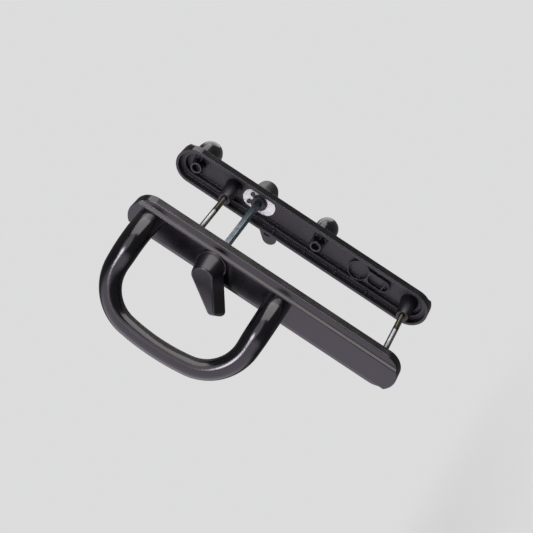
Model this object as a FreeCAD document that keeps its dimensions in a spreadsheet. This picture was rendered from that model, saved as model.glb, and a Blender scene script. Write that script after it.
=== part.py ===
"""Sliding patio door handle set: two hollow plates, two cranked pulls and two turn levers on one spindle.

Frame, in millimetres: +Z runs up the plates, -Y points outdoors and +Y indoors. The origin is on the
spindle axis, in the plane of the outside plate's rim, which is the outdoor surface of the door.
The inside set is made of the same castings, turned round onto the indoor surface.
"""
import FreeCAD
import Part
import Sketcher
import math
import os

Vector = FreeCAD.Vector
Placement = FreeCAD.Placement
Rotation = FreeCAD.Rotation

DIMENSIONS = [
    ("door_thickness", 63, "distance between the two rims"),
    ("plate_length", 200, "plate from end to end"),
    ("plate_width", 27, "plate across the rim, also the diameter of its round ends"),
    ("plate_height", 9.6, "rim to face"),
    ("wall_height", 6.2, "rim to the outer edge of the ledge"),
    ("ledge_rise", 0.8, "how far the ledge climbs towards the raised strip"),
    ("strip_root_width", 19.2, "raised strip where it meets the ledge"),
    ("strip_face_width", 17.4, "raised strip at its face"),
    ("cove_radius", 0.8, "hollow corner between ledge and strip"),
    ("face_edge_radius", 0.6, "rounding of the strip's edges"),
    ("ledge_edge_radius", 0.6, "rounding of the ledge's outer edge"),
    ("shell_thickness", 1.8, "side wall at the rim"),
    ("ledge_thickness", 2.2, "ledge's outer edge in to the hollow behind it"),
    ("strip_wall", 0.6, "strip's face edge in to the deep channel behind it"),
    ("hollow_draft", 6, "draft of the walls inside the plate, degrees"),
    ("floor_thickness", 2.4, "casting behind the face"),
    ("spindle_from_top", 63, "plate's top end to the spindle axis"),
    ("pull_centres", 96.6, "pull's fixing centres, halved by the spindle axis"),
    ("tube_diameter", 8.2, "pull screw tube"),
    ("tube_bore", 5.6, "pull screw tube, inside"),
    ("tube_setback", 0.6, "tube's end behind the rim plane"),
    ("recess_length", 9.6, "recess round a tube, along the plate"),
    ("recess_width", 12.4, "recess round a tube, across the plate"),
    ("recess_depth", 1.2, "recess round a tube, into the floor"),
    ("web_thickness", 1, "web that steadies a tube"),
    ("web_height", 3.4, "web above the bottom of the recess"),
    ("upper_bolt_rise", 20, "spindle axis up to the upper bolt"),
    ("bolt_centres", 142, "upper to lower bolt"),
    ("post_root_diameter", 12.6, "bolt post on the floor"),
    ("post_tip_diameter", 8.3, "bolt post at its end"),
    ("post_reach", 11, "bolt post beyond the rim, into the door"),
    ("bolt_diameter", 4, "bolt's shank"),
    ("bolt_neck_diameter", 3.4, "bolt where it leaves the inside post"),
    ("bolt_neck_length", 14, "length of that neck"),
    ("bolt_head_diameter", 8, "bolt's countersunk head"),
    ("bolt_grip", 14, "bolt inside the outside post"),
    ("bolt_clearance", 0.3, "bolt or screw in its clear hole, across"),
    ("thread_clearance", 0.1, "bolt or screw in its tapped hole, across"),
    ("hole_slack", 1, "tapped hole beyond the bolt's or screw's end"),
    ("cylinder_drop", 81.6, "spindle axis down to the lock cylinder's axis"),
    ("cylinder_diameter", 16, "raised outline of the cylinder, round part"),
    ("cylinder_slot_width", 10, "raised outline of the cylinder, slot"),
    ("cylinder_slot_drop", 24.5, "cylinder's axis to the slot's end"),
    ("cylinder_wall", 1, "raised outline's thickness"),
    ("cylinder_wall_height", 2.6, "raised outline above the floor"),
    ("cylinder_rib_drop", 20, "cylinder's axis to the rib across the slot"),
    ("rib_thickness", 1, "channel rib"),
    ("rib_height", 1.8, "channel rib above the ledge's inside"),
    ("rib_pitch", 25, "channel rib to channel rib"),
    ("rib_count", 4, "channel ribs along each side"),
    ("first_rib_drop", 19, "spindle axis down to the first channel rib"),
    ("bush_length", 24.6, "bush along the plate"),
    ("bush_width", 14.2, "bush across the plate"),
    ("bush_thickness", 1.4, "bush's flange, sunk flush with the floor"),
    ("bush_clearance", 0.2, "bush in its seat, across"),
    ("sleeve_diameter", 13, "bush's sleeve through the floor"),
    ("bearing_diameter", 10, "lever's spigot"),
    ("bearing_clearance", 0.08, "spigot in the bush, across"),
    ("spigot_rise", 1.9, "spigot's end above the floor"),
    ("ring_thickness", 0.9, "retaining ring, which lies on the bush"),
    ("ring_width", 1.7, "retaining ring, radially"),
    ("ring_opening", 3.4, "gap between the ring's ears"),
    ("ear_diameter", 3.2, "ring's ear"),
    ("ear_hole_diameter", 1.3, "hole in the ring's ear"),
    ("ear_offset", 6.4, "ring's axis to the line of its ears"),
    ("groove_depth", 0.7, "ring groove in the spigot"),
    ("groove_clearance", 0.1, "ring in its groove, on each side"),
    ("lever_gap", 0.3, "plate's face to the lever's hub"),
    ("flange_diameter", 20.6, "flange at the foot of the lever's hub"),
    ("flange_height", 1.7, "plate's face to the top of that flange"),
    ("flange_edge_radius", 0.5, "rounding of that flange"),
    ("hub_diameter", 19.2, "lever's hub"),
    ("blade_lift", 4, "plate's face to the blade's underside"),
    ("blade_height", 11.8, "blade from underside to front, on the spindle axis"),
    ("blade_reach", 31.9, "spindle axis to the centre of the blade's tip, at its underside"),
    ("blade_tip_diameter", 10.8, "blade's rounded tip at its underside"),
    ("front_slope", 4, "slope of the blade's front towards its tip, degrees"),
    ("front_hub_diameter", 14.6, "blade's round end at its front"),
    ("front_reach", 27.5, "spindle axis to the centre of the blade's tip, at its front"),
    ("front_tip_diameter", 4.8, "blade's rounded tip at its front"),
    ("blade_edge_radius", 1.6, "rounding of the blade's front edge"),
    ("blade_wall", 1.8, "blade's wall round the hollow behind it"),
    ("hollow_start", 15, "spindle axis to the centre of the hollow's inner end"),
    ("hollow_end", 27, "spindle axis to the centre of the hollow's outer end"),
    ("hollow_depth", 5.5, "hollow behind the blade"),
    ("blade_draft", 15, "draft of the hollow behind the blade, degrees"),
    ("spindle_width", 4, "square spindle"),
    ("spindle_edge", 0.35, "chamfer along the spindle"),
    ("socket_clearance", 0.1, "spindle in a lever's socket, across"),
    ("socket_depth", 11, "spigot's end to the bottom of the socket"),
    ("spindle_end_gap", 0.2, "spindle's indoor end to the bottom of the socket"),
    ("rest_angle", 35, "levers below the horizontal, degrees"),
    ("foot_diameter", 16.8, "pull where it stands on the plate"),
    ("leg_diameter", 16, "pull at the end of its elbow"),
    ("grip_thickness", 13, "middle of the grip, in the plane of the loop"),
    ("grip_width", 15.5, "middle of the grip, across the loop"),
    ("foot_straight", 6.8, "pull's straight start, square to the plate"),
    ("elbow_radius", 24, "bend that leans the loop sideways"),
    ("crank_angle", 55, "lean of the loop, degrees"),
    ("corner_radius", 30, "bends between legs and grip"),
    ("bow_radius", 150, "gentle bow of the grip"),
    ("grip_reach", 37.6, "end of the elbow to the middle of the grip, along the lean"),
    ("screw_diameter", 3, "pull screw"),
    ("screw_head_diameter", 5.2, "pull screw's head"),
    ("screw_head_height", 2.2, "pull screw's head"),
    ("screw_grip", 8, "pull screw inside the pull's foot"),
    ("driver_width", 0.9, "arm of the cross recess in a head"),
    ("driver_span", 3.2, "span of the cross recess"),
    ("driver_depth", 1.2, "depth of the cross recess"),
]

doc = FreeCAD.newDocument("patio_door_handle")
dims = doc.addObject("Spreadsheet::Sheet", "dims")
for row, (alias, amount, meaning) in enumerate(DIMENSIONS, start=1):
    dims.set(f"A{row}", meaning)
    dims.set(f"B{row}", str(amount))
    dims.setAlias(f"B{row}", alias)
doc.recompute()

# Sizes that several features share, as expressions on the sheet
TOP_CENTRE = "dims.spindle_from_top-dims.plate_width/2"
BOTTOM_CENTRE = "dims.spindle_from_top-dims.plate_length+dims.plate_width/2"
LEDGE_DEPTH = "(dims.wall_height-dims.ledge_thickness)"
FLOOR_DEPTH = "(dims.plate_height-dims.floor_thickness)"
RECESS_FLOOR = "(dims.plate_height-dims.floor_thickness+dims.recess_depth)"
LOWER_BOLT = "dims.upper_bolt_rise-dims.bolt_centres"
SPIGOT_END = "(dims.plate_height-dims.floor_thickness-dims.spigot_rise)"
SOCKET_BOTTOM = "(dims.plate_height-dims.floor_thickness-dims.spigot_rise+dims.socket_depth)"
GROOVE_DIAMETER = "(dims.bearing_diameter-2*dims.groove_depth)"
RING_BORE = "(dims.bearing_diameter-2*dims.groove_depth+2*dims.groove_clearance)"
BLADE_UNDERSIDE = "(dims.plate_height+dims.blade_lift)"
SCREW_HEIGHTS = ("dims.pull_centres/2", "-dims.pull_centres/2")
BOLT_HEIGHTS = ("dims.upper_bolt_rise", LOWER_BOLT)


def number(expression):
    """The value of an expression on the sheet."""
    return float(dims.evalExpression(expression))


def origin_plane(body, role):
    return next(item for item in body.Origin.OriginFeatures if item.Role == role)


def new_body(label):
    body = doc.addObject("PartDesign::Body", label)
    body.Label = label
    return body


def new_sketch(body, name, plane="XZ_Plane", offset=None, height=None):
    """A sketch on an origin plane: offset moves it along the plane's normal, height up the plate.

    On the plate's own plane the sketch's axes are X and Z and its normal points outdoors. On the YZ
    plane they are Y and Z.
    """
    sketch = body.newObject("Sketcher::SketchObject", name)
    sketch.AttachmentSupport = [(origin_plane(body, plane), "")]
    sketch.MapMode = "FlatFace"
    if offset:
        sketch.setExpression("AttachmentOffset.Base.z", offset)
    if height:
        sketch.setExpression("AttachmentOffset.Base.y", height)
    return sketch


def drive(sketch, kind, *where, by):
    """One dimension of a sketch, bound to the sheet."""
    index = sketch.addConstraint(Sketcher.Constraint(kind, *where, number(by)))
    sketch.setExpression(f"Constraints[{index}]", by)


def locate(sketch, geometry, point, across, along):
    """Fixes a point by sheet expressions; None puts it on the sketch's axis."""
    if across is None:
        sketch.addConstraint(Sketcher.Constraint("PointOnObject", geometry, point, -2))
    else:
        drive(sketch, "DistanceX", -1, 1, geometry, point, by=across)
    if along is None:
        sketch.addConstraint(Sketcher.Constraint("PointOnObject", geometry, point, -1))
    else:
        drive(sketch, "DistanceY", -1, 1, geometry, point, by=along)


def spot(across, along):
    return Vector(number(across) if across else 0, number(along) if along else 0, 0)


def arc(centre, radius, start, end):
    return Part.ArcOfCircle(Part.Circle(centre, Vector(0, 0, 1), radius), start, end)


def tie(sketch, kind, *where):
    sketch.addConstraint(Sketcher.Constraint(kind, *where))


def draw_circle(sketch, diameter, across=None, along=None):
    circle = Part.Circle(spot(across, along), Vector(0, 0, 1), number(diameter) / 2)
    geometry = sketch.addGeometry(circle)
    locate(sketch, geometry, 3, across, along)
    drive(sketch, "Diameter", geometry, by=diameter)


def draw_polygon(sketch, corners):
    """A closed outline of straight sides through sheet-driven corners."""
    points = [spot(*corner) for corner in corners]
    sides = []
    for start, end in zip(points, points[1:] + points[:1]):
        sides.append(sketch.addGeometry(Part.LineSegment(start, end)))
    for side, following, corner in zip(sides, sides[1:] + sides[:1], corners):
        tie(sketch, "Coincident", side, 2, following, 1)
        locate(sketch, side, 1, *corner)


def draw_rectangle(sketch, left, right, bottom, top):
    draw_polygon(sketch, [(left, bottom), (right, bottom), (right, top), (left, top)])


def draw_stadium(sketch, first, second, first_radius, second_radius):
    """Two arcs joined by their tangents; each centre is a pair of expressions, None on an axis."""
    first_centre = spot(*first)
    second_centre = spot(*second)
    radii = (number(first_radius), number(second_radius))
    axis = first_centre - second_centre
    turn = math.atan2(axis.y, axis.x) - math.pi / 2
    lean = math.asin((radii[1] - radii[0]) / axis.Length)
    right = turn + lean
    left = turn + math.pi - lean
    right_normal = Vector(math.cos(right), math.sin(right), 0)
    left_normal = Vector(math.cos(left), math.sin(left), 0)
    left_start = first_centre + left_normal * radii[0]
    left_end = second_centre + left_normal * radii[1]
    right_start = second_centre + right_normal * radii[1]
    right_end = first_centre + right_normal * radii[0]
    first_arc = sketch.addGeometry(arc(first_centre, radii[0], right, left))
    left_side = sketch.addGeometry(Part.LineSegment(left_start, left_end))
    second_arc = sketch.addGeometry(arc(second_centre, radii[1], left, right + 2 * math.pi))
    right_side = sketch.addGeometry(Part.LineSegment(right_start, right_end))
    outline = [first_arc, left_side, second_arc, right_side]
    for piece, following in zip(outline, outline[1:] + outline[:1]):
        tie(sketch, "Tangent", piece, 2, following, 1)
    locate(sketch, first_arc, 3, *first)
    locate(sketch, second_arc, 3, *second)
    drive(sketch, "Radius", first_arc, by=first_radius)
    drive(sketch, "Radius", second_arc, by=second_radius)


def draw_cylinder_outline(sketch, round_radius, slot_radius):
    """The outline of a profile cylinder: a round part with a slot hanging from it."""
    round_height = "-dims.cylinder_drop"
    slot_height = "-dims.cylinder_drop-dims.cylinder_slot_drop+dims.cylinder_slot_width/2"
    round_centre = spot(None, round_height)
    slot_centre = spot(None, slot_height)
    big = number(round_radius)
    small = number(slot_radius)
    mouth = math.asin(small / big)
    join = Vector(0, -big * math.cos(mouth), 0)
    across = Vector(small, 0, 0)
    head = sketch.addGeometry(arc(round_centre, big, mouth - math.pi / 2, 3 * math.pi / 2 - mouth))
    left = sketch.addGeometry(Part.LineSegment(round_centre + join - across, slot_centre - across))
    foot = sketch.addGeometry(arc(slot_centre, small, math.pi, 2 * math.pi))
    right = sketch.addGeometry(Part.LineSegment(slot_centre + across, round_centre + join + across))
    tie(sketch, "Coincident", head, 2, left, 1)
    tie(sketch, "Coincident", right, 2, head, 1)
    tie(sketch, "Tangent", left, 2, foot, 1)
    tie(sketch, "Tangent", foot, 2, right, 1)
    tie(sketch, "Vertical", left)
    tie(sketch, "Vertical", right)
    locate(sketch, head, 3, None, round_height)
    locate(sketch, foot, 3, None, slot_height)
    drive(sketch, "Radius", head, by=round_radius)
    drive(sketch, "Radius", foot, by=slot_radius)


def pad(body, name, sketch, length, outdoors=True, draft=None):
    """Extrudes a sketch of the plate's plane outdoors or indoors."""
    feature = body.newObject("PartDesign::Pad", name)
    feature.Profile = sketch
    feature.Reversed = not outdoors
    feature.setExpression("Length", length)
    if draft:
        feature.setExpression("TaperAngle", draft)
    doc.recompute()
    return feature


def pocket(body, name, sketch, depth=None, outdoors=True, draft=None):
    """Cuts a sketch into the body, right through if no depth is given, and makes sure that it cuts."""
    before = body.Shape.Volume
    feature = body.newObject("PartDesign::Pocket", name)
    feature.Profile = sketch
    feature.Reversed = outdoors
    if depth:
        feature.setExpression("Length", depth)
    else:
        feature.Type = "ThroughAll"
        feature.SideType = "Symmetric"
    if draft:
        feature.setExpression("TaperAngle", draft)
    doc.recompute()
    if body.Shape.Volume > before - 1e-6:
        raise RuntimeError(f"{name} cuts nothing")
    return feature


def turn_profile(body, name, kind, corners, height=None):
    """Turns a profile of (across the door, radius) corners about an axis square to the plate."""
    sketch = new_sketch(body, f"{name}_profile", "YZ_Plane", height=height)
    draw_polygon(sketch, corners)
    feature = body.newObject(f"PartDesign::{kind}", name)
    feature.Profile = sketch
    feature.ReferenceAxis = (sketch, ["H_Axis"])
    feature.Angle = 360
    doc.recompute()
    return feature


def mirror_across(body, name, feature):
    """Repeats a feature on the other side of the plate's long middle plane."""
    copy = body.newObject("PartDesign::Mirrored", name)
    copy.Originals = [feature]
    copy.MirrorPlane = (origin_plane(body, "YZ_Plane"), [""])
    body.Tip = copy
    doc.recompute()
    return copy


def round_edges(body, name, radius, chosen):
    """Rounds the edges of the body for which chosen(edge) holds."""
    base = body.Tip
    edges = enumerate(base.Shape.Edges, start=1)
    names = [f"Edge{index}" for index, edge in edges if chosen(edge)]
    feature = body.newObject("PartDesign::Fillet", name)
    feature.Base = (base, names)
    feature.setExpression("Radius", radius)
    doc.recompute()
    return feature


def lies_at(edge, depth, half_width=None):
    """Whether an edge lies at a depth outdoors of the rim, and at a half width if one is given."""
    points = [edge.valueAt(edge.FirstParameter), edge.valueAt(edge.LastParameter)]
    points.append(edge.valueAt((edge.FirstParameter + edge.LastParameter) / 2))
    level = all(abs(point.y + depth) < 1e-4 for point in points)
    if half_width is None:
        return level
    return level and all(abs(abs(point.x) - half_width) < 1e-4 for point in points)


def same_run(edge, other):
    """Whether two edges run between the same ends."""
    ends = [vertex.Point for vertex in edge.Vertexes]
    far_ends = [vertex.Point for vertex in other.Vertexes]
    return all(any(point.isEqual(far, 1e-4) for far in far_ends) for point in ends)


def make_plate_casting(body):
    """The stepped outside of a plate, its hollow back and the deep channel behind the strip."""
    outline = new_sketch(body, "outline")
    end_radius = "dims.plate_width/2"
    draw_stadium(outline, (None, TOP_CENTRE), (None, BOTTOM_CENTRE), end_radius, end_radius)
    pad(body, "plate", outline, "dims.plate_height")

    rebate = new_sketch(body, "rebate_section", "XY_Plane")
    draw_polygon(rebate, [
        ("dims.plate_width/2", "-dims.wall_height"),
        ("dims.strip_root_width/2", "-dims.wall_height-dims.ledge_rise"),
        ("dims.strip_face_width/2", "-dims.plate_height"),
        ("dims.strip_face_width/2", "-2*dims.plate_height"),
        ("dims.plate_width", "-2*dims.plate_height"),
        ("dims.plate_width", "-dims.wall_height"),
    ])
    mirror_across(body, "rebates", pocket(body, "rebate", rebate))

    cove_depth = number("dims.wall_height+dims.ledge_rise")
    cove_half = number("dims.strip_root_width/2")
    ledge_depth = number("dims.wall_height")
    ledge_half = number("dims.plate_width/2")
    face_depth = number("dims.plate_height")
    round_edges(body, "coves", "dims.cove_radius", lambda edge: lies_at(edge, cove_depth, cove_half))
    round_edges(body, "ledge_edges", "dims.ledge_edge_radius",
                lambda edge: lies_at(edge, ledge_depth, ledge_half))
    round_edges(body, "face_edges", "dims.face_edge_radius", lambda edge: lies_at(edge, face_depth))

    hollow = new_sketch(body, "hollow_outline")
    hollow_radius = "dims.plate_width/2-dims.shell_thickness"
    draw_stadium(hollow, (None, TOP_CENTRE), (None, BOTTOM_CENTRE), hollow_radius, hollow_radius)
    pocket(body, "hollow", hollow, LEDGE_DEPTH, draft="-dims.hollow_draft")

    channel = new_sketch(body, "channel_outline", offset=LEDGE_DEPTH)
    channel_radius = "dims.strip_face_width/2-dims.strip_wall"
    draw_stadium(channel, (None, TOP_CENTRE), (None, BOTTOM_CENTRE), channel_radius, channel_radius)
    pocket(body, "channel", channel, f"{FLOOR_DEPTH}-{LEDGE_DEPTH}", draft="-dims.hollow_draft")


def add_screw_tubes(body):
    """A recess, a steadying web, a tube and a clear hole for each pull screw."""
    recesses = new_sketch(body, "recess_outlines", offset=FLOOR_DEPTH)
    webs = new_sketch(body, "web_outlines", offset=RECESS_FLOOR)
    tubes = new_sketch(body, "tube_outlines", offset=RECESS_FLOOR)
    bores = new_sketch(body, "bore_outlines", offset="dims.tube_setback")
    holes = new_sketch(body, "screw_hole_outlines", offset=RECESS_FLOOR)
    for height in SCREW_HEIGHTS:
        draw_rectangle(recesses, "-dims.recess_width/2", "dims.recess_width/2",
                       f"{height}-dims.recess_length/2", f"{height}+dims.recess_length/2")
        draw_rectangle(webs, "-dims.strip_face_width/2", "dims.strip_face_width/2",
                       f"{height}-dims.web_thickness/2", f"{height}+dims.web_thickness/2")
        draw_circle(tubes, "dims.tube_diameter", along=height)
        draw_circle(bores, "dims.tube_bore", along=height)
        draw_circle(holes, "dims.screw_diameter+dims.bolt_clearance", along=height)
    tube_length = f"{RECESS_FLOOR}-dims.tube_setback"
    pocket(body, "recesses", recesses, "dims.recess_depth")
    pad(body, "webs", webs, "dims.web_height", outdoors=False)
    pad(body, "tubes", tubes, tube_length, outdoors=False)
    pocket(body, "tube_bores", bores, tube_length)
    pocket(body, "screw_holes", holes, "dims.floor_thickness-dims.recess_depth")


def add_bolt_posts(body, tapped):
    """The tapered posts that reach into the door, tapped from behind or countersunk from the face."""
    tapped_end = "dims.post_reach-dims.bolt_grip-dims.hole_slack"
    tapped_radius = "(dims.bolt_diameter+dims.thread_clearance)/2"
    clear_radius = "(dims.bolt_diameter+dims.bolt_clearance)/2"
    countersink_end = f"-dims.plate_height+dims.bolt_head_diameter/2-{clear_radius}"
    tapped_hole = [
        ("dims.post_reach", None),
        ("dims.post_reach", tapped_radius),
        (tapped_end, tapped_radius),
        (tapped_end, None),
    ]
    countersunk_hole = [
        ("dims.post_reach", None),
        ("dims.post_reach", clear_radius),
        (countersink_end, clear_radius),
        ("-dims.plate_height", "dims.bolt_head_diameter/2"),
        ("-dims.plate_height", None),
    ]
    post = [
        (f"-{FLOOR_DEPTH}", None),
        ("dims.post_reach", None),
        ("dims.post_reach", "dims.post_tip_diameter/2"),
        (f"-{FLOOR_DEPTH}", "dims.post_root_diameter/2"),
    ]
    for height in BOLT_HEIGHTS:
        turn_profile(body, "post", "Revolution", post, height)
        turn_profile(body, "bolt_hole", "Groove", tapped_hole if tapped else countersunk_hole, height)


def add_cylinder_outline(body):
    """The raised outline on the floor where a lock cylinder can be broken through."""
    outer = new_sketch(body, "cylinder_outer", offset=FLOOR_DEPTH)
    draw_cylinder_outline(outer, "dims.cylinder_diameter/2", "dims.cylinder_slot_width/2")
    pad(body, "cylinder_boss", outer, "dims.cylinder_wall_height", outdoors=False)
    inner = new_sketch(body, "cylinder_inner", offset=f"{FLOOR_DEPTH}-dims.cylinder_wall_height")
    draw_circle(inner, "dims.cylinder_diameter-2*dims.cylinder_wall", along="-dims.cylinder_drop")
    slot_radius = "(dims.cylinder_slot_width/2-dims.cylinder_wall)"
    slot_start = f"-dims.cylinder_drop-dims.cylinder_diameter/2-{slot_radius}"
    slot_end = f"-dims.cylinder_drop-dims.cylinder_slot_drop+dims.cylinder_wall+{slot_radius}"
    draw_stadium(inner, (None, slot_start), (None, slot_end), slot_radius, slot_radius)
    pocket(body, "cylinder_inside", inner, "dims.cylinder_wall_height")
    rib = new_sketch(body, "cylinder_rib_outline", offset=FLOOR_DEPTH)
    rib_height = "-dims.cylinder_drop-dims.cylinder_rib_drop"
    rib_half = "(dims.cylinder_slot_width-dims.cylinder_wall)/2"
    draw_rectangle(rib, f"-{rib_half}", rib_half, f"{rib_height}-dims.cylinder_wall/2",
                   f"{rib_height}+dims.cylinder_wall/2")
    pad(body, "cylinder_rib", rib, "dims.cylinder_wall_height", outdoors=False)


def add_channel_ribs(body):
    """Short ribs across the shallow side channels."""
    ribs = new_sketch(body, "rib_outlines", offset=LEDGE_DEPTH)
    inner = "dims.strip_face_width/2"
    outer = "(dims.plate_width-dims.shell_thickness)/2"
    for index in range(int(number("dims.rib_count"))):
        height = f"-dims.first_rib_drop-{index}*dims.rib_pitch"
        bottom = f"{height}-dims.rib_thickness/2"
        top = f"{height}+dims.rib_thickness/2"
        draw_rectangle(ribs, inner, outer, bottom, top)
        draw_rectangle(ribs, f"-{outer}", f"-{inner}", bottom, top)
    pad(body, "ribs", ribs, "dims.rib_height", outdoors=False)


def add_bush_seat(body):
    """The sunk seat of the bush and the hole for its sleeve."""
    seat = new_sketch(body, "bush_seat_outline", offset=FLOOR_DEPTH)
    seat_radius = "(dims.bush_width+dims.bush_clearance)/2"
    seat_centre = "(dims.bush_length-dims.bush_width)/2"
    draw_stadium(seat, (None, seat_centre), (None, f"-{seat_centre}"), seat_radius, seat_radius)
    pocket(body, "bush_seat", seat, "dims.bush_thickness")
    hole = new_sketch(body, "sleeve_hole_outline", offset=FLOOR_DEPTH)
    draw_circle(hole, "dims.sleeve_diameter+dims.bush_clearance")
    pocket(body, "sleeve_hole", hole, "dims.floor_thickness")


def make_backplate(label, tapped):
    body = new_body(label)
    make_plate_casting(body)
    add_channel_ribs(body)
    add_cylinder_outline(body)
    add_screw_tubes(body)
    add_bush_seat(body)
    add_bolt_posts(body, tapped)
    return body


def make_bush(label):
    """The nylon bearing: a flange sunk in the floor and a sleeve through to the face."""
    body = new_body(label)
    flange = new_sketch(body, "flange_outline", offset=FLOOR_DEPTH)
    end_radius = "dims.bush_width/2"
    end_centre = "(dims.bush_length-dims.bush_width)/2"
    draw_stadium(flange, (None, end_centre), (None, f"-{end_centre}"), end_radius, end_radius)
    pad(body, "flange", flange, "dims.bush_thickness")
    sleeve = new_sketch(body, "sleeve_outline", offset=FLOOR_DEPTH)
    draw_circle(sleeve, "dims.sleeve_diameter")
    pad(body, "sleeve", sleeve, "dims.floor_thickness")
    bore = new_sketch(body, "bore_outline", offset=FLOOR_DEPTH)
    draw_circle(bore, "dims.bearing_diameter+dims.bearing_clearance")
    pocket(body, "bore", bore, "dims.floor_thickness")
    return body


def make_retaining_ring(label):
    """An open ring with two eared ends, lying on the bush round the spigot's groove."""
    body = new_body(label)
    ring = new_sketch(body, "ring_outline", offset=FLOOR_DEPTH)
    draw_circle(ring, f"{RING_BORE}+2*dims.ring_width")
    draw_circle(ring, RING_BORE)
    pad(body, "ring", ring, "dims.ring_thickness", outdoors=False)
    opening = new_sketch(body, "opening_outline", offset=FLOOR_DEPTH)
    draw_rectangle(opening, "-dims.ring_opening/2", "dims.ring_opening/2", None, "2*dims.ear_offset")
    pocket(body, "opening", opening, "dims.ring_thickness", outdoors=False)
    ears = new_sketch(body, "ear_outlines", offset=FLOOR_DEPTH)
    ear_centre = "(dims.ring_opening+dims.ear_diameter)/2"
    for side in (ear_centre, f"-{ear_centre}"):
        draw_circle(ears, "dims.ear_diameter", side, "dims.ear_offset")
        draw_circle(ears, "dims.ear_hole_diameter", side, "dims.ear_offset")
    pad(body, "ears", ears, "dims.ring_thickness", outdoors=False)
    return body


def make_lever(label):
    """A turn lever, level and pointing to -X: tapered blade, hub, spigot and square socket."""
    body = new_body(label)
    spigot = new_sketch(body, "spigot_outline", offset=SPIGOT_END)
    draw_circle(spigot, "dims.bearing_diameter")
    pad(body, "spigot", spigot, f"{BLADE_UNDERSIDE}-{SPIGOT_END}")
    flange = new_sketch(body, "flange_outline", offset="dims.plate_height+dims.lever_gap")
    draw_circle(flange, "dims.flange_diameter")
    pad(body, "flange", flange, "dims.flange_height-dims.lever_gap")
    flange_depth = number("dims.plate_height+dims.flange_height")
    flange_girth = math.pi * number("dims.flange_diameter")
    round_edges(body, "flange_edge", "dims.flange_edge_radius",
                lambda edge: lies_at(edge, flange_depth) and abs(edge.Length - flange_girth) < 1e-3)
    hub = new_sketch(body, "hub_outline", offset="dims.plate_height+dims.flange_height")
    draw_circle(hub, "dims.hub_diameter")
    pad(body, "hub", hub, "dims.blade_lift-dims.flange_height")
    underside = new_sketch(body, "blade_underside", offset=BLADE_UNDERSIDE)
    draw_stadium(underside, (None, None), ("-dims.blade_reach", None), "dims.hub_diameter/2",
                 "dims.blade_tip_diameter/2")
    front = new_sketch(body, "blade_front", offset=f"{BLADE_UNDERSIDE}+dims.blade_height")
    front.AttachmentOffset = Placement(front.AttachmentOffset.Base, Rotation(Vector(0, 1, 0), 1))
    front.setExpression("AttachmentOffset.Rotation.Angle", "-dims.front_slope*1deg")
    draw_stadium(front, (None, None), ("-dims.front_reach", None), "dims.front_hub_diameter/2",
                 "dims.front_tip_diameter/2")
    blade = body.newObject("PartDesign::AdditiveLoft", "blade")
    blade.Profile = underside
    blade.Sections = [front]
    blade.Ruled = True
    doc.recompute()
    front_edges = front.Shape.Edges
    round_edges(body, "front_edge", "dims.blade_edge_radius",
                lambda edge: any(same_run(edge, outline) for outline in front_edges))
    hollow = new_sketch(body, "hollow_outline", offset=BLADE_UNDERSIDE)
    hollow_radius = "dims.blade_tip_diameter/2-dims.blade_wall"
    draw_stadium(hollow, ("-dims.hollow_start", None), ("-dims.hollow_end", None), hollow_radius,
                 hollow_radius)
    pocket(body, "hollow", hollow, "dims.hollow_depth", draft="-dims.blade_draft")
    socket = new_sketch(body, "socket_outline", offset=SPIGOT_END)
    socket_half = "(dims.spindle_width+dims.socket_clearance)/2"
    draw_rectangle(socket, f"-{socket_half}", socket_half, f"-{socket_half}", socket_half)
    pocket(body, "socket", socket, "dims.socket_depth")
    groove = new_sketch(body, "groove_outline", offset=f"{FLOOR_DEPTH}+dims.groove_clearance")
    draw_circle(groove, "2*dims.bearing_diameter")
    draw_circle(groove, GROOVE_DIAMETER)
    pocket(body, "groove", groove, "dims.ring_thickness+2*dims.groove_clearance", outdoors=False)
    return body


def make_spindle(label):
    """The square bar that turns both levers, with its long edges broken."""
    body = new_body(label)
    section = new_sketch(body, "section", offset=SOCKET_BOTTOM)
    side = "dims.spindle_width/2"
    corner = "(dims.spindle_width/2-dims.spindle_edge)"
    draw_polygon(section, [
        (side, f"-{corner}"),
        (side, corner),
        (corner, side),
        (f"-{corner}", side),
        (f"-{side}", corner),
        (f"-{side}", f"-{corner}"),
        (f"-{corner}", f"-{side}"),
        (corner, f"-{side}"),
    ])
    length = f"dims.door_thickness+2*{SOCKET_BOTTOM}-dims.spindle_end_gap"
    pad(body, "bar", section, length, outdoors=False)
    return body


def cut_cross(body, offset, height, outdoors):
    """The cross recess in a head."""
    reach = "dims.driver_span/2"
    arm = "dims.driver_width/2"
    cross = new_sketch(body, "cross_outline", offset=offset, height=height)
    draw_polygon(cross, [
        (reach, f"-{arm}"),
        (reach, arm),
        (arm, arm),
        (arm, reach),
        (f"-{arm}", reach),
        (f"-{arm}", arm),
        (f"-{reach}", arm),
        (f"-{reach}", f"-{arm}"),
        (f"-{arm}", f"-{arm}"),
        (f"-{arm}", f"-{reach}"),
        (arm, f"-{reach}"),
        (arm, f"-{arm}"),
    ])
    pocket(body, "cross", cross, "dims.driver_depth", outdoors)


def make_pull_screw(name, height):
    """A screw whose head stands on the floor of the recess, inside the tube."""
    body = new_body(name)
    head_top = f"-{RECESS_FLOOR}+dims.screw_head_height"
    shank_end = "-dims.plate_height-dims.screw_grip"
    turn_profile(body, "screw", "Revolution", [
        (head_top, None),
        (head_top, "dims.screw_head_diameter/2"),
        (f"-{RECESS_FLOOR}", "dims.screw_head_diameter/2"),
        (f"-{RECESS_FLOOR}", "dims.screw_diameter/2"),
        (shank_end, "dims.screw_diameter/2"),
        (shank_end, None),
    ], height)
    cut_cross(body, f"{RECESS_FLOOR}-dims.screw_head_height", height, outdoors=True)
    return body


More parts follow.
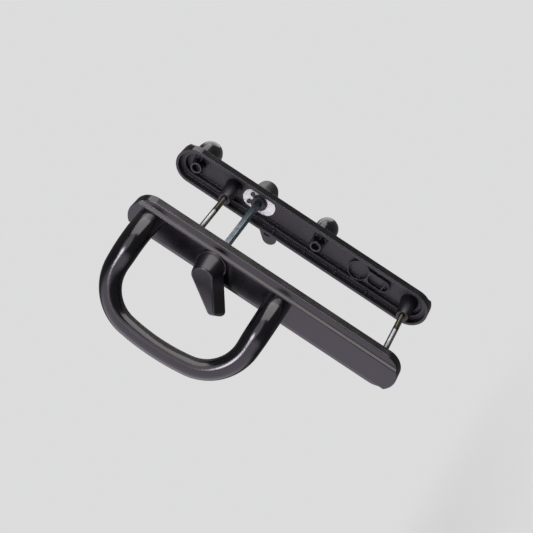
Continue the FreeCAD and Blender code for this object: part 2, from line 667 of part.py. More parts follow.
def make_fixing_bolt(name, height):
    """A long countersunk bolt from the inside plate's face into the outside plate's post."""
    body = new_body(name)
    face = "dims.door_thickness+dims.plate_height"
    cone_end = f"{face}-(dims.bolt_head_diameter-dims.bolt_diameter)/2"
    neck_start = "dims.door_thickness-dims.post_reach"
    neck_end = f"{neck_start}-dims.bolt_neck_length"
    tip = "dims.post_reach-dims.bolt_grip"
    turn_profile(body, "bolt", "Revolution", [
        (face, None),
        (face, "dims.bolt_head_diameter/2"),
        (cone_end, "dims.bolt_diameter/2"),
        (neck_start, "dims.bolt_diameter/2"),
        (neck_start, "dims.bolt_neck_diameter/2"),
        (neck_end, "dims.bolt_neck_diameter/2"),
        (neck_end, "dims.bolt_diameter/2"),
        (tip, "dims.bolt_diameter/2"),
        (tip, None),
    ], height)
    cut_cross(body, f"-({face})", height, outdoors=True)
    return body


def group(label, members):
    """Several loose pieces of one kind as one sub-part."""
    compound = doc.addObject("Part::Compound", label)
    compound.Label = label
    compound.Links = members
    doc.recompute()
    return compound


def section_placement(centre, tangent, side):
    """Stands a section square to the path, with its own x axis along side."""
    return Placement(centre, Rotation(side, tangent.cross(side), tangent, "ZXY"))


def add_ring(name, diameter, placement):
    """A round section of the pull."""
    ring = doc.addObject("Part::Circle", name)
    ring.setExpression("Radius", f"{diameter}/2")
    ring.Placement = placement
    return ring


def add_oval(name, placement):
    """The grip's oval section, widest across the loop."""
    oval = doc.addObject("Part::Ellipse", name)
    oval.setExpression("MajorRadius", "dims.grip_width/2")
    oval.setExpression("MinorRadius", "dims.grip_thickness/2")
    oval.Placement = placement
    return oval


def sweep(name, spine, sections):
    body = doc.addObject("Part::Sweep", name)
    body.Sections = sections
    body.Spine = (spine, [f"Edge{index + 1}" for index in range(len(spine.Shape.Edges))])
    body.Solid = True
    doc.recompute()
    return body


def make_elbow(name, height):
    """A foot of the pull: straight off the plate, then bent sideways to the loop's lean."""
    lean = math.radians(number("dims.crank_angle"))
    radius = number("dims.elbow_radius")
    face = number("dims.plate_height")
    bend_start = face + number("dims.foot_straight")
    level = number(height)
    path = doc.addObject("Sketcher::SketchObject", f"{name}_path")
    path.Placement = Placement(Vector(0, 0, level), Rotation())
    line = path.addGeometry(Part.LineSegment(Vector(0, -face, 0), Vector(0, -bend_start, 0)))
    bend = path.addGeometry(arc(Vector(-radius, -bend_start, 0), radius, -lean, 0))
    tie(path, "Vertical", line)
    tie(path, "Tangent", line, 2, bend, 2)
    locate(path, line, 1, None, "-dims.plate_height")
    drive(path, "DistanceY", line, 2, line, 1, by="dims.foot_straight")
    drive(path, "Radius", bend, by="dims.elbow_radius")
    drive(path, "DistanceX", bend, 1, bend, 2, by="dims.elbow_radius*(1-cos(dims.crank_angle*1deg))")
    doc.recompute()
    up = Vector(0, 0, 1)
    end = Vector(radius * (math.cos(lean) - 1), -bend_start - radius * math.sin(lean), level)
    end_tangent = Vector(-math.sin(lean), -math.cos(lean), 0)
    foot = add_ring(f"{name}_foot", "dims.foot_diameter",
                    section_placement(Vector(0, -face, level), Vector(0, -1, 0), up))
    leg = add_ring(f"{name}_leg", "dims.leg_diameter", section_placement(end, end_tangent, up))
    return sweep(name, path, [foot, leg])


def make_loop(name):
    """The leaning loop of the pull: two legs, two corners and a gently bowed grip."""
    lean = math.radians(number("dims.crank_angle"))
    elbow = number("dims.elbow_radius")
    bend_start = number("dims.plate_height+dims.foot_straight")
    half = number("dims.pull_centres/2")
    corner = number("dims.corner_radius")
    bow = number("dims.bow_radius")
    outward = Vector(-math.sin(lean), -math.cos(lean), 0)
    up = Vector(0, 0, 1)
    across = outward.cross(up)
    base = Vector(elbow * (math.cos(lean) - 1), -bend_start - elbow * math.sin(lean), 0)
    bow_centre = number("dims.grip_reach-dims.bow_radius")
    rise = half - corner
    leg = bow_centre + math.sqrt((bow - corner) ** 2 - rise ** 2)
    swing = math.asin(rise / (bow - corner))

    path = doc.addObject("Sketcher::SketchObject", f"{name}_path")
    path.Placement = Placement(base, Rotation(outward, up, across, "XYZ"))
    quarter = math.pi / 2
    upper_leg = path.addGeometry(Part.LineSegment(Vector(0, half, 0), Vector(leg, half, 0)))
    upper_corner = path.addGeometry(arc(Vector(leg, rise, 0), corner, swing, quarter))
    grip = path.addGeometry(arc(Vector(bow_centre, 0, 0), bow, -swing, swing))
    lower_corner = path.addGeometry(arc(Vector(leg, -rise, 0), corner, -quarter, -swing))
    lower_leg = path.addGeometry(Part.LineSegment(Vector(leg, -half, 0), Vector(0, -half, 0)))
    tie(path, "Horizontal", upper_leg)
    tie(path, "Horizontal", lower_leg)
    tie(path, "Tangent", upper_leg, 2, upper_corner, 2)
    tie(path, "Tangent", upper_corner, 1, grip, 2)
    tie(path, "Tangent", grip, 1, lower_corner, 2)
    tie(path, "Tangent", lower_corner, 1, lower_leg, 1)
    locate(path, upper_leg, 1, None, "dims.pull_centres/2")
    locate(path, lower_leg, 2, None, "-dims.pull_centres/2")
    locate(path, grip, 3, "dims.grip_reach-dims.bow_radius", None)
    drive(path, "Radius", upper_corner, by="dims.corner_radius")
    drive(path, "Radius", lower_corner, by="dims.corner_radius")
    drive(path, "Radius", grip, by="dims.bow_radius")
    doc.recompute()

    def in_plane(reach, height):
        return base + outward * reach + up * height

    end_reach = bow_centre + bow * math.cos(swing)
    end_height = bow * math.sin(swing)
    upper_tangent = outward * math.sin(swing) - up * math.cos(swing)
    lower_tangent = outward * -math.sin(swing) - up * math.cos(swing)
    sections = [
        add_ring(f"{name}_upper_leg", "dims.leg_diameter",
                 section_placement(in_plane(0, half), outward, across)),
        add_oval(f"{name}_upper_grip",
                 section_placement(in_plane(end_reach, end_height), upper_tangent, across)),
        add_oval(f"{name}_lower_grip",
                 section_placement(in_plane(end_reach, -end_height), lower_tangent, across)),
        add_ring(f"{name}_lower_leg", "dims.leg_diameter",
                 section_placement(in_plane(0, -half), outward * -1, across)),
    ]
    return sweep(name, path, sections)


def make_pull(label):
    """The one-piece grip, with a tapped hole in each foot."""
    upper, lower = SCREW_HEIGHTS
    body = doc.addObject("Part::MultiFuse", f"{label}_casting")
    body.Shapes = [make_elbow(f"{label}_upper", upper), make_loop(f"{label}_loop"),
                   make_elbow(f"{label}_lower", lower)]
    for height in SCREW_HEIGHTS:
        hole = doc.addObject("Part::Cylinder", f"{label}_hole")
        hole.setExpression("Radius", "(dims.screw_diameter+dims.thread_clearance)/2")
        hole.setExpression("Height", "dims.screw_grip+dims.hole_slack")
        face_point = Vector(0, -number("dims.plate_height"), number(height))
        hole.Placement = Placement(face_point, Rotation(Vector(1, 0, 0), 90))
        drilled = doc.addObject("Part::Cut", f"{label}_drilled")
        drilled.Base = body
        drilled.Tool = hole
        body = drilled
    body.Label = label
    doc.recompute()
    return body


def make_subparts():
    """Every sub-part, each set in its place on the door."""
    indoors = Vector(0, number("dims.door_thickness"), 0)
    outside = Placement()
    about_plate = Placement(indoors, Rotation(Vector(0, 0, 1), 180))
    about_level = Placement(indoors, Rotation(Vector(1, 0, 0), 180))
    lowered = Placement(Vector(), Rotation(Vector(0, 1, 0), -number("dims.rest_angle")))
    placed = [
        (make_backplate("outside_backplate", tapped=True), outside),
        (make_backplate("inside_backplate", tapped=False), about_plate),
        (make_pull("outside_pull"), outside),
        (make_pull("inside_pull"), about_level),
        (make_lever("outside_turn_lever"), lowered),
        (make_lever("inside_turn_lever"), lowered * about_level),
        (make_spindle("spindle"), lowered),
    ]
    for side, seat in (("outside", outside), ("inside", about_plate)):
        screws = [make_pull_screw(f"{side}_pull_screw", height) for height in SCREW_HEIGHTS]
        placed.append((make_bush(f"{side}_turn_bush"), seat))
        placed.append((make_retaining_ring(f"{side}_retaining_ring"), seat))
        placed.append((group(f"{side}_pull_screws", screws), seat))
    bolts = [make_fixing_bolt("fixing_bolt", height) for height in BOLT_HEIGHTS]
    placed.append((group("fixing_bolts", bolts), outside))
    for subpart, place in placed:
        subpart.Placement = place
    doc.recompute()
    return [subpart for subpart, place in placed]


def check_and_write(subparts):
    """Makes sure that everything was made, then writes one file for each sub-part."""
    for item in doc.Objects:
        if "Invalid" in item.State or "Error" in item.State:
            raise RuntimeError(f"{item.Label} failed: {item.State}")
    for subpart in subparts:
        if subpart.Shape.isNull() or not subpart.Shape.isValid():
            raise RuntimeError(f"{subpart.Label} has no valid shape")
    os.makedirs("parts", exist_ok=True)
    for subpart in subparts:
        subpart.Shape.exportStep(f"parts/{subpart.Label}.step")


check_and_write(make_subparts())
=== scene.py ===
# %% [markdown]
# # A sliding patio door handle set, dressed for its portrait
# The set is held as it sits on a door that isn't there: an outside plate nearest the camera, an inside
# plate behind it with its hollow back in view, and a square spindle and two bolts between them. Its
# solids already have the real shapes, so the work here is finish and light: a black coat over the
# castings, bright and dull steel, white nylon, the bolts' threads, and a pale studio for glossy black to
# mirror.

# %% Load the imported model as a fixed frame
import math

import bpy
from mathutils import Matrix, Vector


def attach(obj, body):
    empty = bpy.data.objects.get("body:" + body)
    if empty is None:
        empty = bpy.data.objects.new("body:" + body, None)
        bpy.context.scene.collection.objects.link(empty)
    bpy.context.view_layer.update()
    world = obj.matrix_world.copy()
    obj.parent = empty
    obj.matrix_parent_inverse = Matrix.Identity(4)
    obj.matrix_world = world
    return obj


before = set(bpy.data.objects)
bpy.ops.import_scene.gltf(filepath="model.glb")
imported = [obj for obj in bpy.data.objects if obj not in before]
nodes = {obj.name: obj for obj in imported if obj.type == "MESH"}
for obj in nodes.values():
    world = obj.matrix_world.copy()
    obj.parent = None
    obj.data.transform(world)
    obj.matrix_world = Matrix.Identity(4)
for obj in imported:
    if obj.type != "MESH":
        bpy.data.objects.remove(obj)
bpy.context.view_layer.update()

# %% [markdown]
# ## The camera
# The photograph looks at the set from outdoors and to one side, with the camera rolled so that the plates
# run from upper left to lower right. A camera can be placed by angles, but a rolled one is easier to
# place by its own axes: where it stands, what it looks along, and which way is up in its picture. The
# long lens keeps the two plates nearly parallel.

# %% Camera
CAMERA_PLACE = Vector((0.5117, -0.5961, -0.0483))
CAMERA_AHEAD = Vector((-0.640, 0.768, 0.024))
CAMERA_UP = Vector((0.650, 0.524, 0.551))
SENSOR_WIDTH = 36.0
LENS = 83.56

scene = bpy.context.scene
ahead = CAMERA_AHEAD.normalized()
right = ahead.cross(CAMERA_UP).normalized()
up = right.cross(ahead)
camera_data = bpy.data.cameras.new("photo_camera")
camera_data.lens = LENS
camera_data.sensor_width = SENSOR_WIDTH
camera = bpy.data.objects.new("photo_camera", camera_data)
scene.collection.objects.link(camera)
turned = Matrix((right, up, -ahead)).transposed().to_4x4()
camera.matrix_world = Matrix.Translation(CAMERA_PLACE) @ turned
scene.camera = camera
scene.view_settings.view_transform = "Standard"
print("camera looks along", tuple(round(part, 3) for part in ahead))

# %% [markdown]
# ## The surroundings
# A black glossy part is drawn by what it mirrors. Its reflections say where the light came from: a broad
# pale field on the pulls' side, and darkness on the other side and overhead. A sphere of painted panels
# could stand round the set, but a world that fades from pale to dim with the direction does the same with
# no edges. To the camera the world is one even pale grey, and mirrors show a share of it on every side.

# %% Helpers that place and join nodes
# A Mix node keeps separate sockets for each kind of data: the first, the second and the result.
MIX_SOCKETS = {"RGBA": (6, 7, 2), "FLOAT": (2, 3, 0)}


def add_node(tree, kind, **settings):
    """A node of one kind, with its own settings."""
    node = tree.nodes.new(kind)
    for setting, choice in settings.items():
        setattr(node, setting, choice)
    return node


def feed(tree, source, socket):
    """Link a socket to another node's output, or set it to a plain value."""
    if isinstance(source, bpy.types.NodeSocket):
        tree.links.new(source, socket)
    else:
        socket.default_value = source


def add_math(tree, operation, first, second):
    """The result of one sum with two values."""
    node = add_node(tree, "ShaderNodeMath", operation=operation)
    feed(tree, first, node.inputs[0])
    feed(tree, second, node.inputs[1])
    return node.outputs["Value"]


def add_mix(tree, kind, mask, first, second):
    """A colour or a value that runs from the first to the second with a mask."""
    node = add_node(tree, "ShaderNodeMix", data_type=kind)
    first_socket, second_socket, result = MIX_SOCKETS[kind]
    feed(tree, mask, node.inputs[0])
    feed(tree, first, node.inputs[first_socket])
    feed(tree, second, node.inputs[second_socket])
    return node.outputs[result]


def spread_mask(tree, mask, low, high, first=0.0, last=1.0, curve="LINEAR"):
    """A value that runs from low to high while the mask runs from first to last."""
    node = add_node(tree, "ShaderNodeMapRange", interpolation_type=curve)
    node.inputs["From Min"].default_value = first
    node.inputs["From Max"].default_value = last
    node.inputs["To Min"].default_value = low
    node.inputs["To Max"].default_value = high
    tree.links.new(mask, node.inputs["Value"])
    return node.outputs["Result"]


print("kinds of data that can be mixed:", list(MIX_SOCKETS))

# %% The field that the coat mirrors
PALE_FIELD = (1.92, 1.83, 2.03, 1.0)
DIM_FIELD = (0.03, 0.03, 0.028, 1.0)
FIELD_SIDE = (-0.565, -0.807, -0.174)
FIELD_FADE_START = 0.28
FIELD_FADE_END = 0.58

world = bpy.data.worlds.new("pale_studio")
scene.world = world
world.use_nodes = True
tree = world.node_tree
direction = add_node(tree, "ShaderNodeTexCoord")
facing = add_node(tree, "ShaderNodeVectorMath", operation="DOT_PRODUCT")
facing.inputs[1].default_value = FIELD_SIDE
tree.links.new(direction.outputs["Generated"], facing.inputs[0])
pale_side = spread_mask(
    tree, facing.outputs["Value"], 0.0, 1.0, FIELD_FADE_START, FIELD_FADE_END, curve="SMOOTHSTEP"
)
field = add_mix(tree, "RGBA", pale_side, DIM_FIELD, PALE_FIELD)
print("the field runs from", DIM_FIELD[:3], "to", PALE_FIELD[:3])

# %% The even grey behind the set
BACKDROP = (0.72, 0.72, 0.722, 1.0)
MIRRORED_SHARE = 0.12

ray = add_node(tree, "ShaderNodeLightPath").outputs
mirrored = add_math(tree, "MULTIPLY", ray["Is Glossy Ray"], MIRRORED_SHARE)
direct = add_math(tree, "MAXIMUM", ray["Is Camera Ray"], ray["Is Transmission Ray"])
shown = add_math(tree, "MAXIMUM", direct, mirrored)
seen = add_mix(tree, "RGBA", shown, field, BACKDROP)
tree.links.new(seen, tree.nodes["Background"].inputs["Color"])
print("the world's nodes:", len(tree.nodes))

# %% [markdown]
# ## The floor
# The set seems to float in the photograph, so the floor lies well below it and only catches a soft
# shadow. Near the middle it is a plain matt surface. Further out it fades into the backdrop's own grey, so
# that no horizon shows. Mirrored in the black coat it would hide the pale field, so reflections look
# through it.

# %% Floor
FLOOR_HEIGHT = -0.24
FLOOR_SIZE = 8.0

bpy.ops.object.select_all(action="DESELECT")
bpy.ops.mesh.primitive_plane_add(size=FLOOR_SIZE, location=(0, 0, FLOOR_HEIGHT))
floor = bpy.context.object
floor.name = "floor"
floor.visible_glossy = False
floor.visible_diffuse = False
print("floor at", FLOOR_HEIGHT, "m")

# %% The floor's paint
FLOOR_COLOUR = (0.77, 0.78, 0.76, 1.0)
FLOOR_ROUGHNESS = 0.9
FLOOR_FADE_START = 0.02
FLOOR_FADE_END = 0.34

floor_paint = bpy.data.materials.new("pale_floor")
floor_paint.use_nodes = True
tree = floor_paint.node_tree
floor_shader = tree.nodes["Principled BSDF"]
floor_shader.inputs["Base Color"].default_value = FLOOR_COLOUR
floor_shader.inputs["Roughness"].default_value = FLOOR_ROUGHNESS
floor_glow = add_node(tree, "ShaderNodeEmission")
floor_glow.inputs["Color"].default_value = BACKDROP
place = add_node(tree, "ShaderNodeTexCoord")
distance = add_node(tree, "ShaderNodeVectorMath", operation="LENGTH")
tree.links.new(place.outputs["Object"], distance.inputs[0])
fade = spread_mask(
    tree, distance.outputs["Value"], 0.0, 1.0, FLOOR_FADE_START, FLOOR_FADE_END, curve="SMOOTHSTEP"
)
floor_mix = add_node(tree, "ShaderNodeMixShader")
tree.links.new(fade, floor_mix.inputs["Fac"])
tree.links.new(floor_shader.outputs["BSDF"], floor_mix.inputs[1])
tree.links.new(floor_glow.outputs["Emission"], floor_mix.inputs[2])
tree.links.new(floor_mix.outputs["Shader"], tree.nodes["Material Output"].inputs["Surface"])
floor.data.materials.append(floor_paint)
print(floor_paint.name, "fades out", FLOOR_FADE_END, "m from the middle")

# %% [markdown]
# ## The lamps
# Soft boxes draw the remaining highlights. A square window beyond the plates makes the broad pale patches
# on the pull's elbows, a dimmer wall stands beside the camera, a small bright lamp above it makes the
# white spots, a board behind the set lights the bolts, and a round one in line with them pales the far
# pull's outline. A lamp is placed by its compass side and height, and its power is worked out from how
# bright its reflection is to look. The small lamp is only mirrored, so that the white nylon keeps its own
# colour.

# %% A lamp that faces the set
MIDDLE = Vector((-0.01, 0.0, -0.03))


def soft_box(name, side, height, size, radiance, tint, reach=1.2, shape="ELLIPSE"):
    """A lamp at a compass side and height in degrees, facing the set."""
    turn = math.radians(side)
    climb = math.radians(height)
    level = math.cos(climb)
    way = Vector((math.cos(turn) * level, math.sin(turn) * level, math.sin(climb)))
    lamp = bpy.data.lights.new(name, "AREA")
    lamp.shape = shape
    lamp.size, lamp.size_y = size
    area = lamp.size * lamp.size_y * (math.pi / 4 if shape == "ELLIPSE" else 1)
    lamp.energy = radiance * math.pi * area
    lamp.color = tint
    holder = bpy.data.objects.new(name, lamp)
    scene.collection.objects.link(holder)
    holder.location = MIDDLE + way * reach
    holder.rotation_euler = (-way).to_track_quat("-Z", "Y").to_euler()
    print(name, "at", [round(part, 2) for part in holder.location])
    return holder


print("lamps face", tuple(round(part, 3) for part in MIDDLE))

# %% The window, and the wall beside the camera
WINDOW_TINT = (1.0, 1.0, 0.94)
WALL_TINT = (0.97, 0.94, 1.0)

soft_box(
    "window_box", side=20, height=13, size=(1.22, 1.42), radiance=3.6, tint=WINDOW_TINT, shape="RECTANGLE"
)
soft_box("wall_box", side=322, height=19, size=(1.35, 1.05), radiance=1.8, tint=WALL_TINT)

# %% The small lamp that is only mirrored
SPOT_TINT = (0.93, 0.96, 1.0)

spot_box = soft_box(
    "camera_box", side=302, height=21, size=(0.30, 0.36), radiance=20.0, tint=SPOT_TINT, reach=1.0
)
spot_box.visible_diffuse = False

# %% The two boards behind the set
BACK_TINT = (0.98, 0.97, 1.0)
DOOR_TINT = (1.0, 1.0, 0.98)

soft_box("back_box", side=64, height=26, size=(0.80, 0.60), radiance=2.0, tint=BACK_TINT)
soft_box("door_box", side=96, height=14, size=(0.74, 0.74), radiance=1.0, tint=DOOR_TINT)

# %% [markdown]
# ## Two effects that several finishes share
# Powder coat, moulded nylon and a phosphated ring all have a skin: small low waves, and larger patches
# that are a little duller. Drawn and turned steel has fine lines along its length and cloudy stains
# instead. Each effect is a node group, so that every finish can take it with its own sizes. The sizes are
# scales per metre, because the object is in metres: a scale of 700 makes waves about 1.4 mm long.

# %% The skin of coats and mouldings
VECTOR = "NodeSocketVector"
NUMBER = "NodeSocketFloat"
CLOUD_DETAIL = 3.0


def new_group(name, scales, masks):
    """An empty node group that takes a place and some scales and gives masks, and its two ends."""
    group = bpy.data.node_groups.new(name, "ShaderNodeTree")
    group.interface.new_socket("Place", in_out="INPUT", socket_type=VECTOR)
    for scale in scales:
        group.interface.new_socket(scale, in_out="INPUT", socket_type=NUMBER)
    for mask in masks:
        group.interface.new_socket(mask, in_out="OUTPUT", socket_type=NUMBER)
    taken = group.nodes.new("NodeGroupInput").outputs
    given = group.nodes.new("NodeGroupOutput").inputs
    return group, taken, given


def add_cloud(tree, place, scale, low, high):
    """A soft noise mask that runs from 0 to 1 between two levels of the noise."""
    noise = add_node(tree, "ShaderNodeTexNoise")
    noise.inputs["Detail"].default_value = CLOUD_DETAIL
    tree.links.new(place, noise.inputs["Vector"])
    tree.links.new(scale, noise.inputs["Scale"])
    return spread_mask(tree, noise.outputs["Fac"], 0.0, 1.0, low, high)


skin, taken, given = new_group("skin", ("Wave Scale", "Patch Scale"), ("Waves", "Patches"))
waves = add_cloud(skin, taken["Place"], taken["Wave Scale"], low=0.2, high=0.8)
patches = add_cloud(skin, taken["Place"], taken["Patch Scale"], low=0.35, high=0.65)
skin.links.new(waves, given["Waves"])
skin.links.new(patches, given["Patches"])
print(skin.name, "has", len(skin.nodes), "nodes")

# %% The lines and stains of drawn steel
LINE_STRETCH = (1.0, 0.04, 1.0)

drawn, taken, given = new_group("drawn", ("Line Scale", "Stain Scale"), ("Lines", "Stains"))
along = add_node(drawn, "ShaderNodeMapping")
along.inputs["Scale"].default_value = LINE_STRETCH
drawn.links.new(taken["Place"], along.inputs["Vector"])
lines = add_cloud(drawn, along.outputs["Vector"], taken["Line Scale"], low=0.3, high=0.7)
stains = add_cloud(drawn, taken["Place"], taken["Stain Scale"], low=0.4, high=0.65)
drawn.links.new(lines, given["Lines"])
drawn.links.new(stains, given["Stains"])
print(drawn.name, "has", len(drawn.nodes), "nodes")

# %% [markdown]
# ## The black coat
# The castings are zinc, coated black in an oven. Outside, the coat has flowed out nearly like a mirror. In
# the hollow backs it is thinner and shows the casting's own dull skin, so a mask of the faces that look
# towards the door makes the coat rougher there. The levers, which are handled most, have a softer satin.
# Every cast edge is a little round, which the rounded normals of a Bevel node give at far less cost than
# another fillet.

# %% Helpers that start a finish


def new_finish(name, metallic=0.0):
    """A material with its tree, its shader and the place on the object in metres."""
    material = bpy.data.materials.new(name)
    material.use_nodes = True
    tree = material.node_tree
    shader = tree.nodes["Principled BSDF"]
    shader.inputs["Metallic"].default_value = metallic
    return material, tree, shader, add_node(tree, "ShaderNodeTexCoord").outputs


def put_group(tree, group, place, scales):
    """The two masks, fine and broad, of a node group at its own scales."""
    node = add_node(tree, "ShaderNodeGroup", node_tree=group)
    tree.links.new(place["Object"], node.inputs["Place"])
    for socket, scale in scales.items():
        node.inputs[socket].default_value = scale
    return node.outputs[0], node.outputs[1]


def split_axes(tree, vector):
    """The X, Y and Z of a vector."""
    node = add_node(tree, "ShaderNodeSeparateXYZ")
    tree.links.new(vector, node.inputs["Vector"])
    return node.outputs


def add_bump(tree, shader, height, distance, strength):
    """Small relief on a finish."""
    bump = add_node(tree, "ShaderNodeBump")
    bump.inputs["Distance"].default_value = distance
    bump.inputs["Strength"].default_value = strength
    tree.links.new(height, bump.inputs["Height"])
    tree.links.new(bump.outputs["Normal"], shader.inputs["Normal"])
    return bump


print("effects to choose from:", [group.name for group in bpy.data.node_groups])

# %% The hollow backs
DOOR_MIDDLE = 0.0315
HOLLOW_FROM = 0.001
HOLLOW_FULL = 0.003


def find_hollow(tree, place):
    """A mask of the faces that look towards the middle of the door."""
    spot = split_axes(tree, place["Object"])
    facing = split_axes(tree, place["Normal"])
    to_door = add_math(tree, "SUBTRACT", DOOR_MIDDLE, spot["Y"])
    inward = add_math(tree, "MULTIPLY", facing["Y"], to_door)
    return spread_mask(tree, inward, 0.0, 1.0, HOLLOW_FROM, HOLLOW_FULL)


print("the middle of the door is", DOOR_MIDDLE, "m from the outside plate's rim")

# %% Black coat
DEEP_BLACK = (0.0035, 0.0035, 0.0045, 1)
WORN_BLACK = (0.0055, 0.0055, 0.007, 1)
# The coat's reflections carry a painted lilac tint. It stands for the colour of the room's light, not a
# colour of the coat.
PAINTED_REFLECTION_TINT = (1.0, 0.93, 1.0, 1.0)
HOLLOW_SMOOTH = 0.46
HOLLOW_DULL = 0.56
EDGE_ROUND = 0.0008
EDGE_SAMPLES = 6


def make_black(name, smooth, dull):
    """The black coat, from its smoothest to its dullest patches outside."""
    material, tree, shader, place = new_finish(name)
    waves, patches = put_group(tree, skin, place, {"Wave Scale": 700.0, "Patch Scale": 60.0})
    black = add_mix(tree, "RGBA", patches, DEEP_BLACK, WORN_BLACK)
    tree.links.new(black, shader.inputs["Base Color"])
    # Painted reflection tint: the lilac of the room's light, given to the coat's reflections.
    shader.inputs["Specular Tint"].default_value = PAINTED_REFLECTION_TINT
    outside = spread_mask(tree, patches, smooth, dull)
    inside = spread_mask(tree, patches, HOLLOW_SMOOTH, HOLLOW_DULL)
    gloss = add_mix(tree, "FLOAT", find_hollow(tree, place), outside, inside)
    tree.links.new(gloss, shader.inputs["Roughness"])
    rounded = add_node(tree, "ShaderNodeBevel", samples=EDGE_SAMPLES)
    rounded.inputs["Radius"].default_value = EDGE_ROUND
    relief = add_bump(tree, shader, waves, distance=0.000005, strength=0.5)
    tree.links.new(rounded.outputs["Normal"], relief.inputs["Normal"])
    print(name, "has", len(tree.nodes), "nodes")
    return material


black_coat = make_black("black_coat", smooth=0.14, dull=0.19)
lever_coat = make_black("lever_coat", smooth=0.30, dull=0.38)

# %% [markdown]
# ## The metals and the nylon
# The bolts are bright zinc plate over turned steel, stained brown with thread oil at the neck, next to
# the inside post, and at the foot, next to the outside plate. The screws down in their tubes have the same
# plate, gone dull and dark. The spindle is plain drawn bar, blue-grey and cloudy, and darker at its inside
# end. The retaining ring is dark from its phosphate bath, and the bush is natural nylon, which is white
# but never pure white. An end's stain could be painted by hand, but a mask along Y, the direction through
# the door, puts it at the same depth on both bolts.

# %% Bright zinc
PALE_ZINC = (0.42, 0.42, 0.44, 1)
CLOUDED_ZINC = (0.30, 0.295, 0.275, 1)
OIL_BROWN = (0.052, 0.046, 0.034, 1)
NECK_START = 0.0345
NECK_FULL = 0.0355
NECK_FADE = 0.055
NECK_END = 0.056
FOOT_START = 0.012
FOOT_END = 0.023
FOOT_SHARE = 0.85

zinc, tree, shader, place = new_finish("bright_zinc", metallic=1.0)
lines, stains = put_group(tree, drawn, place, {"Line Scale": 1200.0, "Stain Scale": 300.0})
through = split_axes(tree, place["Object"])["Y"]
after_start = spread_mask(tree, through, 0.0, 1.0, NECK_START, NECK_FULL)
before_end = spread_mask(tree, through, 1.0, 0.0, NECK_FADE, NECK_END)
neck = add_math(tree, "MULTIPLY", after_start, before_end)
foot = spread_mask(tree, through, FOOT_SHARE, 0.0, FOOT_START, FOOT_END)
oil = add_math(tree, "MAXIMUM", neck, foot)
bright = add_mix(tree, "RGBA", stains, PALE_ZINC, CLOUDED_ZINC)
tree.links.new(add_mix(tree, "RGBA", oil, bright, OIL_BROWN), shader.inputs["Base Color"])
tree.links.new(spread_mask(tree, stains, low=0.27, high=0.36), shader.inputs["Roughness"])
add_bump(tree, shader, lines, distance=0.000002, strength=0.15)
print(zinc.name, "has", len(tree.nodes), "nodes")

# %% Drawn steel
PALE_STEEL = (0.28, 0.31, 0.35, 1)
CLOUDED_STEEL = (0.15, 0.185, 0.215, 1)
# The spindle's colour runs darker and bluer along Y towards its inside end.
DARK_END_STEEL = (0.05, 0.075, 0.10, 1)
DARK_END_START = 0.034
DARK_END_STOP = 0.050
DARK_END_SHARE = 0.75

steel, tree, shader, place = new_finish("drawn_steel", metallic=1.0)
lines, stains = put_group(tree, drawn, place, {"Line Scale": 1600.0, "Stain Scale": 260.0})
through = split_axes(tree, place["Object"])["Y"]
darker_inside_end = spread_mask(tree, through, 0.0, DARK_END_SHARE, DARK_END_START, DARK_END_STOP)
bare = add_mix(tree, "RGBA", stains, PALE_STEEL, CLOUDED_STEEL)
tree.links.new(add_mix(tree, "RGBA", darker_inside_end, bare, DARK_END_STEEL), shader.inputs["Base Color"])
tree.links.new(spread_mask(tree, lines, low=0.48, high=0.62), shader.inputs["Roughness"])
add_bump(tree, shader, lines, distance=0.000006, strength=0.5)
print(steel.name, "has", len(tree.nodes), "nodes")

# %% Dull zinc
DARK_ZINC = (0.15, 0.15, 0.16, 1)
DARKER_ZINC = (0.08, 0.078, 0.075, 1)


def make_plain(name, group, scales, colours, gloss, relief, metallic=0.0):
    """A finish whose colour and gloss follow a group's broad mask, and its relief the fine one."""
    material, tree, shader, place = new_finish(name, metallic)
    fine, broad = put_group(tree, group, place, scales)
    tree.links.new(add_mix(tree, "RGBA", broad, *colours), shader.inputs["Base Color"])
    tree.links.new(spread_mask(tree, broad, *gloss), shader.inputs["Roughness"])
    add_bump(tree, shader, fine, *relief)
    print(name, "has", len(tree.nodes), "nodes")
    return material


dull_zinc = make_plain(
    "dull_zinc",
    drawn,
    {"Line Scale": 1200.0, "Stain Scale": 400.0},
    colours=(DARK_ZINC, DARKER_ZINC),
    gloss=(0.42, 0.58),
    relief=(0.000002, 0.3),
    metallic=1.0,
)

# %% Phosphated ring
DARK_PHOSPHATE = (0.022, 0.020, 0.023, 1)
RUBBED_PHOSPHATE = (0.045, 0.041, 0.044, 1)

ring_steel = make_plain(
    "phosphated_steel",
    skin,
    {"Wave Scale": 2600.0, "Patch Scale": 500.0},
    colours=(DARK_PHOSPHATE, RUBBED_PHOSPHATE),
    gloss=(0.38, 0.55),
    relief=(0.000006, 0.5),
    metallic=0.6,
)

# %% White nylon
CLEAN_NYLON = (0.80, 0.80, 0.80, 1)
GREYED_NYLON = (0.73, 0.73, 0.72, 1)

nylon = make_plain(
    "white_nylon",
    skin,
    {"Wave Scale": 1500.0, "Patch Scale": 180.0},
    colours=(CLEAN_NYLON, GREYED_NYLON),
    gloss=(0.38, 0.48),
    relief=(0.00001, 0.5),
)

# %% [markdown]
# ## Dressing the solids
# Every piece of the set already has its real shape, so it only takes its finish. The two sides are the
# same castings turned round, and their names differ only in the first word. Each finish is therefore
# listed once, under the name that both sides share.

# %% Dress every solid
FINISHES = {
    "backplate": black_coat,
    "pull": black_coat,
    "turn_lever": lever_coat,
    "pull_screws": dull_zinc,
    "turn_bush": nylon,
    "retaining_ring": ring_steel,
    "spindle": steel,
    "fixing_bolts": zinc,
}
for name, node in nodes.items():
    piece = name.removeprefix("outside_").removeprefix("inside_")
    node.data.materials.clear()
    node.data.materials.append(FINISHES[piece])
    print(name, "is", FINISHES[piece].name)

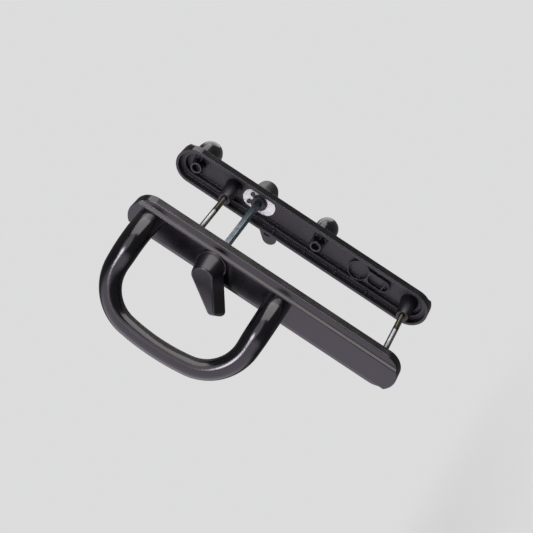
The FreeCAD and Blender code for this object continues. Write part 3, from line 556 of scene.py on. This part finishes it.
# %% [markdown]
# ## The bolts' threads
# Each fixing bolt has a fine screw thread next to the inside post, where the solid is a plain neck. A
# thread is a small three-cornered ridge that climbs round the neck once for every pitch. It could be
# painted as bump, but its saw-tooth outline shows against the pale floor, so it is real: one triangle,
# turned and lifted by a Screw modifier, with its two open ends closed. The second bolt's thread is a copy
# of the first.

# %% One ridge, turned round the neck
THREAD_ROOT = 0.00164
THREAD_CREST = 0.00198
THREAD_START = 0.0384
RIDGE_STRETCH = 1.6
# A triangle is one and a half times as high as the radius of the circle round it.
TRIANGLE_HEIGHT = 1.5

ridge_radius = (THREAD_CREST - THREAD_ROOT) / TRIANGLE_HEIGHT
bpy.ops.object.select_all(action="DESELECT")
bpy.ops.mesh.primitive_circle_add(
    vertices=3,
    radius=ridge_radius,
    fill_type="NOTHING",
    location=(0, 0, 0),
    rotation=(0, 0, -math.pi / 2),
)
thread = bpy.context.object
thread.name = "upper_bolt_thread"
thread.data.name = "upper_bolt_thread"
bpy.ops.object.transform_apply(location=True, rotation=True, scale=True)
bpy.ops.object.mode_set(mode="EDIT")
bpy.ops.mesh.select_all(action="SELECT")
bpy.ops.transform.resize(value=(1, RIDGE_STRETCH, 1))
bpy.ops.transform.translate(value=(THREAD_CREST - ridge_radius, THREAD_START, 0))
bpy.ops.object.mode_set(mode="OBJECT")
corners = [[round(part * 1000, 3) for part in corner.co] for corner in thread.data.vertices]
print("ridge:", corners, "mm")

# %% The climb, and the closed ends
THREAD_PITCH = 0.0007
THREAD_TURNS = 19
THREAD_STEPS = 24
MERGE_GAP = 0.000001
SMOOTH_ANGLE = math.radians(30)
UPPER_BOLT = 0.020

climb = thread.modifiers.new("climb", "SCREW")
climb.axis = "Y"
climb.angle = math.tau
climb.screw_offset = THREAD_PITCH
climb.iterations = THREAD_TURNS
climb.steps = THREAD_STEPS
climb.render_steps = THREAD_STEPS
bpy.ops.object.modifier_apply(modifier=climb.name)
bpy.ops.object.mode_set(mode="EDIT")
bpy.ops.mesh.select_all(action="SELECT")
bpy.ops.mesh.remove_doubles(threshold=MERGE_GAP)
bpy.ops.mesh.fill_holes(sides=3)
bpy.ops.mesh.select_all(action="SELECT")
bpy.ops.mesh.normals_make_consistent(inside=False)
bpy.ops.transform.translate(value=(0, 0, UPPER_BOLT))
bpy.ops.object.mode_set(mode="OBJECT")
bpy.ops.object.shade_smooth_by_angle(angle=SMOOTH_ANGLE)
print(thread.name, "has", len(thread.data.polygons), "faces")

# %% A copy for the lower bolt
LOWER_BOLT = -0.122

bpy.ops.object.duplicate(linked=False)
lower_thread = bpy.context.object
lower_thread.name = "lower_bolt_thread"
lower_thread.data.name = "lower_bolt_thread"
bpy.ops.object.mode_set(mode="EDIT")
bpy.ops.mesh.select_all(action="SELECT")
bpy.ops.transform.translate(value=(0, 0, LOWER_BOLT - UPPER_BOLT))
bpy.ops.object.mode_set(mode="OBJECT")
for piece in (thread, lower_thread):
    piece.data.materials.append(zinc)
    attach(piece, "frame")
    heights = [corner.co.z for corner in piece.data.vertices]
    print(piece.name, "is centred at", round((min(heights) + max(heights)) / 2, 4), "m")
